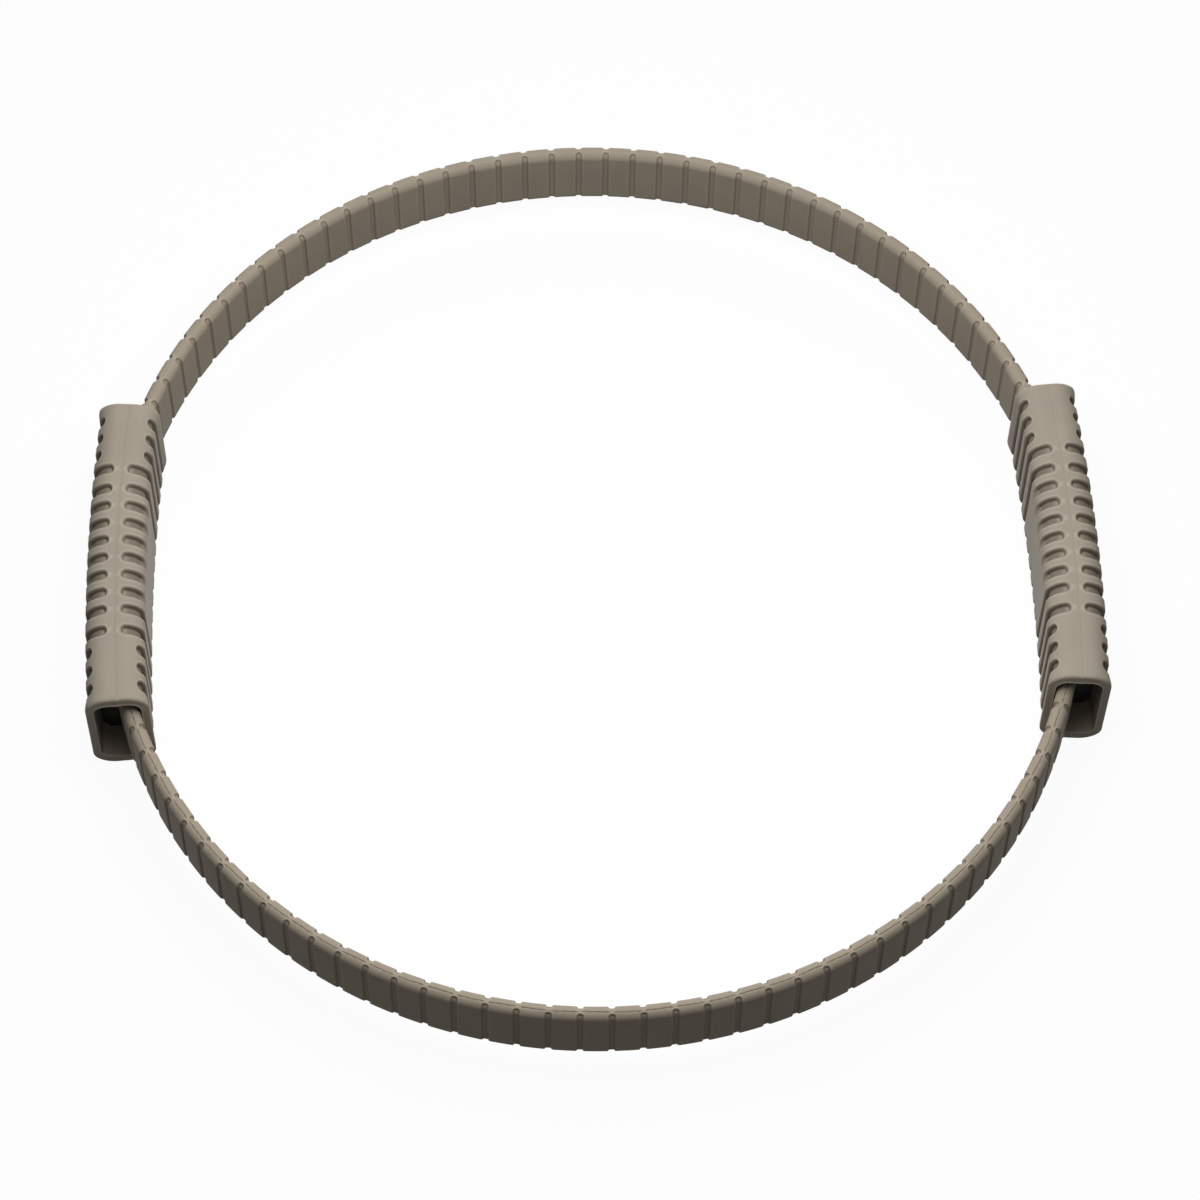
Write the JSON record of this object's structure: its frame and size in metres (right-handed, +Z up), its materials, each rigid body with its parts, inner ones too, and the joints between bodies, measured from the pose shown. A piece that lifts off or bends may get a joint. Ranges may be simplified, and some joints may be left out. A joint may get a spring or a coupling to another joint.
{
  "type": "pilates ring",
  "caption": "Springy exercise hoop: a ribbed silicone band over flat spring steel, with two grooved silicone grips, squeezed between the hands or legs.",
  "frame": {"origin": "on the ground below the middle of the hoop, which lies flat on its two grips", "axes": "+X from the left grip to the right grip, +Y from the front half of the hoop to the rear half, +Z up"},
  "size_m": [0.3674, 0.38, 0.042],
  "materials": {
    "cover_silicone": "matte moulded silicone, warm taupe",
    "grip_silicone": "matte moulded silicone, warm taupe",
    "core_plastic": "black moulded plastic",
    "spring_steel": "rolled spring steel, hidden in the cover",
    "screw_steel": "plated steel, hidden in the grip"
  },
  "bodies": {
    "left_grip_end": {"left_grip": "grip_silicone", "left_core_inner": "core_plastic", "left_core_outer": "core_plastic", "left_screw_1": "screw_steel", "left_screw_2": "screw_steel", "front_cover_left_end": "cover_silicone", "front_strip_left_end": "spring_steel", "rear_cover_left_end": "cover_silicone", "rear_strip_left_end": "spring_steel"},
    "front_length_01": {"front_cover_01": "cover_silicone", "front_strip_01": "spring_steel"},
    "front_length_02": {"front_cover_02": "cover_silicone", "front_strip_02": "spring_steel"},
    "front_length_03": {"front_cover_03": "cover_silicone", "front_strip_03": "spring_steel"},
    "front_length_04": {"front_cover_04": "cover_silicone", "front_strip_04": "spring_steel"},
    "front_length_05": {"front_cover_05": "cover_silicone", "front_strip_05": "spring_steel"},
    "front_length_06": {"front_cover_06": "cover_silicone", "front_strip_06": "spring_steel"},
    "front_length_07": {"front_cover_07": "cover_silicone", "front_strip_07": "spring_steel"},
    "front_length_08": {"front_cover_08": "cover_silicone", "front_strip_08": "spring_steel"},
    "front_length_09": {"front_cover_09": "cover_silicone", "front_strip_09": "spring_steel"},
    "rear_length_01": {"rear_cover_01": "cover_silicone", "rear_strip_01": "spring_steel"},
    "rear_length_02": {"rear_cover_02": "cover_silicone", "rear_strip_02": "spring_steel"},
    "rear_length_03": {"rear_cover_03": "cover_silicone", "rear_strip_03": "spring_steel"},
    "rear_length_04": {"rear_cover_04": "cover_silicone", "rear_strip_04": "spring_steel"},
    "rear_length_05": {"rear_cover_05": "cover_silicone", "rear_strip_05": "spring_steel"},
    "rear_length_06": {"rear_cover_06": "cover_silicone", "rear_strip_06": "spring_steel"},
    "rear_length_07": {"rear_cover_07": "cover_silicone", "rear_strip_07": "spring_steel"},
    "rear_length_08": {"rear_cover_08": "cover_silicone", "rear_strip_08": "spring_steel"},
    "rear_length_09": {"rear_cover_09": "cover_silicone", "rear_strip_09": "spring_steel"},
    "right_grip_end": {"right_grip": "grip_silicone", "right_core_inner": "core_plastic", "right_core_outer": "core_plastic", "right_screw_1": "screw_steel", "right_screw_2": "screw_steel", "front_cover_right_end": "cover_silicone", "front_strip_right_end": "spring_steel"},
    "rear_right_end": {"rear_cover_right_end": "cover_silicone", "rear_strip_right_end": "spring_steel"}
  },
  "joints": [
    {"name": "front_bend_01", "type": "hinge", "parent": "left_grip_end", "child": "front_length_01", "pos_m": [-0.15509, -0.09042, 0.021], "axis": [0, 0, -1], "range_deg": [-8, 19], "stiffness_Nm_per_rad": 100},
    {"name": "front_bend_02", "type": "hinge", "parent": "front_length_01", "child": "front_length_02", "pos_m": [-0.13169, -0.12614, 0.021], "axis": [0, 0, -1], "range_deg": [-3.21, 7.63]},
    {"name": "front_bend_03", "type": "hinge", "parent": "front_length_02", "child": "front_length_03", "pos_m": [-0.10033, -0.15509, 0.021], "axis": [0, 0, -1], "range_deg": [-3.4, 1.43]},
    {"name": "front_bend_04", "type": "hinge", "parent": "front_length_03", "child": "front_length_04", "pos_m": [-0.06276, -0.17536, 0.021], "axis": [0, 0, -1], "range_deg": [-11.01, 4.63]},
    {"name": "front_bend_05", "type": "hinge", "parent": "front_length_04", "child": "front_length_05", "pos_m": [-0.02135, -0.18574, 0.021], "axis": [0, 0, -1], "range_deg": [-14.88, 6.27]},
    {"name": "front_bend_06", "type": "hinge", "parent": "front_length_05", "child": "front_length_06", "pos_m": [0.02135, -0.18574, 0.021], "axis": [0, 0, -1], "range_deg": [-14.88, 6.27]},
    {"name": "front_bend_07", "type": "hinge", "parent": "front_length_06", "child": "front_length_07", "pos_m": [0.06276, -0.17536, 0.021], "axis": [0, 0, -1], "range_deg": [-11.01, 4.63]},
    {"name": "front_bend_08", "type": "hinge", "parent": "front_length_07", "child": "front_length_08", "pos_m": [0.10033, -0.15509, 0.021], "axis": [0, 0, -1], "range_deg": [-3.4, 1.43]},
    {"name": "front_bend_09", "type": "hinge", "parent": "front_length_08", "child": "front_length_09", "pos_m": [0.13169, -0.12614, 0.021], "axis": [0, 0, -1], "range_deg": [-3.21, 7.63]},
    {"name": "front_bend_10", "type": "hinge", "parent": "front_length_09", "child": "right_grip_end", "pos_m": [0.15509, -0.09042, 0.021], "axis": [0, 0, -1], "range_deg": [-9.12, 21.66]},
    {"name": "rear_bend_01", "type": "hinge", "parent": "left_grip_end", "child": "rear_length_01", "pos_m": [-0.15509, 0.09042, 0.021], "axis": [0, 0, 1], "range_deg": [-9.12, 21.66]},
    {"name": "rear_bend_02", "type": "hinge", "parent": "rear_length_01", "child": "rear_length_02", "pos_m": [-0.13169, 0.12614, 0.021], "axis": [0, 0, 1], "range_deg": [-3.21, 7.63]},
    {"name": "rear_bend_03", "type": "hinge", "parent": "rear_length_02", "child": "rear_length_03", "pos_m": [-0.10033, 0.15509, 0.021], "axis": [0, 0, 1], "range_deg": [-3.4, 1.43]},
    {"name": "rear_bend_04", "type": "hinge", "parent": "rear_length_03", "child": "rear_length_04", "pos_m": [-0.06276, 0.17536, 0.021], "axis": [0, 0, 1], "range_deg": [-11.01, 4.63]},
    {"name": "rear_bend_05", "type": "hinge", "parent": "rear_length_04", "child": "rear_length_05", "pos_m": [-0.02135, 0.18574, 0.021], "axis": [0, 0, 1], "range_deg": [-14.88, 6.27]},
    {"name": "rear_bend_06", "type": "hinge", "parent": "rear_length_05", "child": "rear_length_06", "pos_m": [0.02135, 0.18574, 0.021], "axis": [0, 0, 1], "range_deg": [-14.88, 6.27]},
    {"name": "rear_bend_07", "type": "hinge", "parent": "rear_length_06", "child": "rear_length_07", "pos_m": [0.06276, 0.17536, 0.021], "axis": [0, 0, 1], "range_deg": [-11.01, 4.63]},
    {"name": "rear_bend_08", "type": "hinge", "parent": "rear_length_07", "child": "rear_length_08", "pos_m": [0.10033, 0.15509, 0.021], "axis": [0, 0, 1], "range_deg": [-3.4, 1.43]},
    {"name": "rear_bend_09", "type": "hinge", "parent": "rear_length_08", "child": "rear_length_09", "pos_m": [0.13169, 0.12614, 0.021], "axis": [0, 0, 1], "range_deg": [-3.21, 7.63]},
    {"name": "rear_bend_10", "type": "hinge", "parent": "rear_length_09", "child": "rear_right_end", "pos_m": [0.15509, 0.09042, 0.021], "axis": [0, 0, 1], "range_deg": [-9.12, 21.66]}
  ],
  "couplings": [
    {"joint": "front_bend_02", "follows": "front_bend_01", "ratio": 0.35232},
    {"joint": "front_bend_03", "follows": "front_bend_01", "ratio": -0.1572},
    {"joint": "front_bend_04", "follows": "front_bend_01", "ratio": -0.50812},
    {"joint": "front_bend_05", "follows": "front_bend_01", "ratio": -0.68701},
    {"joint": "front_bend_06", "follows": "front_bend_01", "ratio": -0.68701},
    {"joint": "front_bend_07", "follows": "front_bend_01", "ratio": -0.50812},
    {"joint": "front_bend_08", "follows": "front_bend_01", "ratio": -0.1572},
    {"joint": "front_bend_09", "follows": "front_bend_01", "ratio": 0.35232},
    {"joint": "front_bend_10", "follows": "front_bend_01", "ratio": 1},
    {"joint": "rear_bend_01", "follows": "front_bend_01", "ratio": 1},
    {"joint": "rear_bend_02", "follows": "front_bend_01", "ratio": 0.35232},
    {"joint": "rear_bend_03", "follows": "front_bend_01", "ratio": -0.1572},
    {"joint": "rear_bend_04", "follows": "front_bend_01", "ratio": -0.50812},
    {"joint": "rear_bend_05", "follows": "front_bend_01", "ratio": -0.68701},
    {"joint": "rear_bend_06", "follows": "front_bend_01", "ratio": -0.68701},
    {"joint": "rear_bend_07", "follows": "front_bend_01", "ratio": -0.50812},
    {"joint": "rear_bend_08", "follows": "front_bend_01", "ratio": -0.1572},
    {"joint": "rear_bend_09", "follows": "front_bend_01", "ratio": 0.35232},
    {"joint": "rear_bend_10", "follows": "front_bend_01", "ratio": 1}
  ]
}
